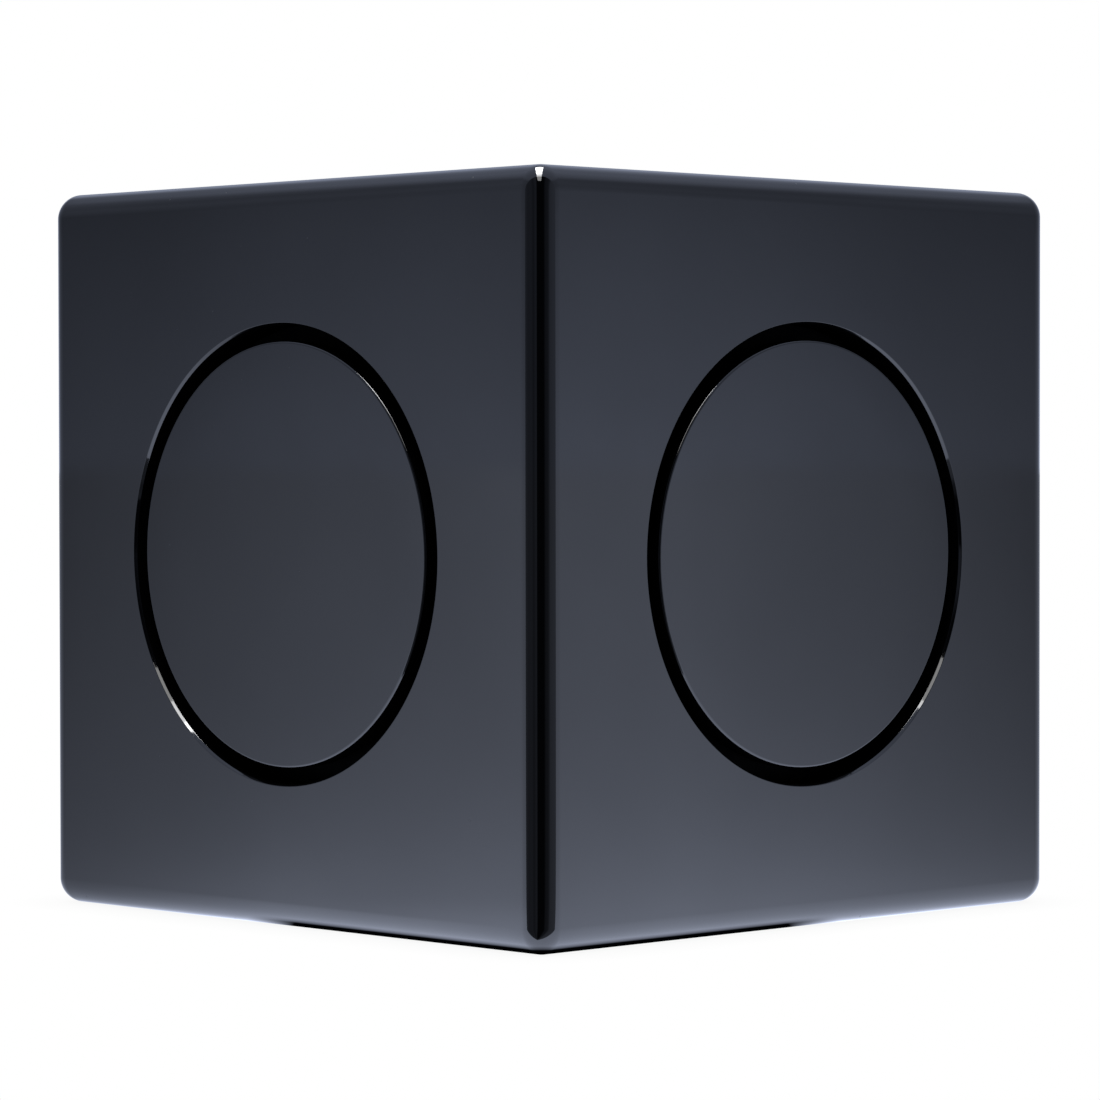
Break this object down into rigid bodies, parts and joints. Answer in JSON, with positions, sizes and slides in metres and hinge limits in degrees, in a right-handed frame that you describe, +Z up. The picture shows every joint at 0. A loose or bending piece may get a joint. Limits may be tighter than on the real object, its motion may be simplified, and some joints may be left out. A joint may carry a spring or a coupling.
{
  "type": "mirror block puzzle cube",
  "caption": "Gloss black puzzle cube with a flush turning disc, ringed by a narrow groove, in each face.",
  "frame": {"origin": "centre of the bottom face, on the surface the cube rests on", "axes": "+Z up through the top disc, -Y out of the front disc, +X out of the right disc"},
  "size_m": [0.057, 0.057, 0.057],
  "materials": {
    "gloss_shell": "polished piano black",
    "gloss_disc": "polished piano black",
    "bearing_plastic": "moulded, satin",
    "inner_plastic": "moulded, matte",
    "fastener_steel": "zinc plated",
    "spring_steel": "drawn wire"
  },
  "bodies": {
    "casing": {"outer_casing": "gloss_shell", "base_cover": "gloss_shell", "six_arm_core": "inner_plastic", "front_seat_ring": "bearing_plastic", "front_spring": "spring_steel", "front_washer": "fastener_steel", "front_screw": "fastener_steel", "back_seat_ring": "bearing_plastic", "back_spring": "spring_steel", "back_washer": "fastener_steel", "back_screw": "fastener_steel", "right_seat_ring": "bearing_plastic", "right_spring": "spring_steel", "right_washer": "fastener_steel", "right_screw": "fastener_steel", "left_seat_ring": "bearing_plastic", "left_spring": "spring_steel", "left_washer": "fastener_steel", "left_screw": "fastener_steel", "top_seat_ring": "bearing_plastic", "top_spring": "spring_steel", "top_washer": "fastener_steel", "top_screw": "fastener_steel", "bottom_seat_ring": "bearing_plastic", "bottom_spring": "spring_steel", "bottom_washer": "fastener_steel", "bottom_screw": "fastener_steel"},
    "front_disc": {"front_disc_cap": "gloss_disc", "front_disc_hub": "bearing_plastic"},
    "back_disc": {"back_disc_cap": "gloss_disc", "back_disc_hub": "bearing_plastic"},
    "right_disc": {"right_disc_cap": "gloss_disc", "right_disc_hub": "bearing_plastic"},
    "left_disc": {"left_disc_cap": "gloss_disc", "left_disc_hub": "bearing_plastic"},
    "top_disc": {"top_disc_cap": "gloss_disc", "top_disc_hub": "bearing_plastic"},
    "bottom_disc": {"bottom_disc_cap": "gloss_disc", "bottom_disc_hub": "bearing_plastic"}
  },
  "joints": [
    {"name": "front_disc_turn", "type": "hinge", "parent": "casing", "child": "front_disc", "pos_m": [0, -0.0285, 0.0285], "axis": [0, -1, 0], "continuous": true},
    {"name": "back_disc_turn", "type": "hinge", "parent": "casing", "child": "back_disc", "pos_m": [0, 0.0285, 0.0285], "axis": [0, 1, 0], "continuous": true},
    {"name": "right_disc_turn", "type": "hinge", "parent": "casing", "child": "right_disc", "pos_m": [0.0285, 0, 0.0285], "axis": [1, 0, 0], "continuous": true},
    {"name": "left_disc_turn", "type": "hinge", "parent": "casing", "child": "left_disc", "pos_m": [-0.0285, 0, 0.0285], "axis": [-1, 0, 0], "continuous": true},
    {"name": "top_disc_turn", "type": "hinge", "parent": "casing", "child": "top_disc", "pos_m": [0, 0, 0.057], "axis": [0, 0, 1], "continuous": true},
    {"name": "bottom_disc_turn", "type": "hinge", "parent": "casing", "child": "bottom_disc", "pos_m": [0, 0, 0], "axis": [0, 0, -1], "continuous": true}
  ]
}
